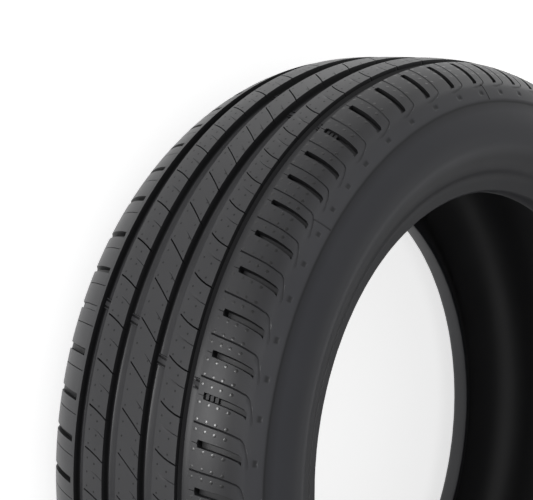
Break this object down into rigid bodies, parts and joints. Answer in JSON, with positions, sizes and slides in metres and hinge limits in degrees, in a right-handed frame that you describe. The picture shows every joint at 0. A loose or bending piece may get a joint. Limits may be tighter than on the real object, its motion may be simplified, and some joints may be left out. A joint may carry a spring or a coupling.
{
  "type": "car tyre",
  "caption": "Hollow rubber road tyre with a ribbed tread, slotted outer shoulder, smooth sidewalls and tapered beads that seat on a wheel rim.",
  "frame": {"origin": "middle of the tyre: on the axle line, halfway between the beads", "axes": "+Z along the axle towards the outer sidewall; X and Y in the middle plane of the tread"},
  "size_m": [0.6567, 0.6568, 0.23],
  "materials": {
    "tyre": "matt charcoal rubber, a little smoother on the sidewalls"
  },
  "bodies": {
    "root": {"tyre": "tyre"}
  },
  "joints": []
}
